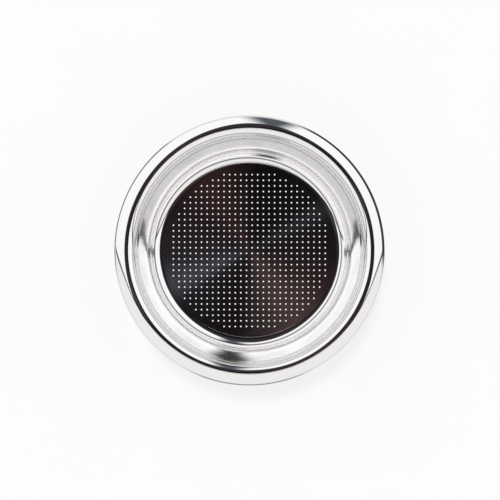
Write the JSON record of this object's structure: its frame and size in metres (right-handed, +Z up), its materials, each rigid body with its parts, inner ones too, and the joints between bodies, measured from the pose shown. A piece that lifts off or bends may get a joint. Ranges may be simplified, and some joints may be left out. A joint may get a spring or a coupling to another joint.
{
  "type": "espresso filter basket",
  "caption": "Tapered cup of thin stainless sheet with a finely pierced flat base, a straight collar, a retaining ridge and a rim rolled outward",
  "frame": {"origin": "middle of the underside of the pierced base, which the basket stands on", "axes": "+Z runs up the axis of the cup and out of its mouth; X and Y lie along the rows of holes"},
  "size_m": [0.07, 0.07, 0.024],
  "materials": {
    "stainless_sheet": "satin"
  },
  "bodies": {
    "root": {"filter_basket": "stainless_sheet"}
  },
  "joints": []
}
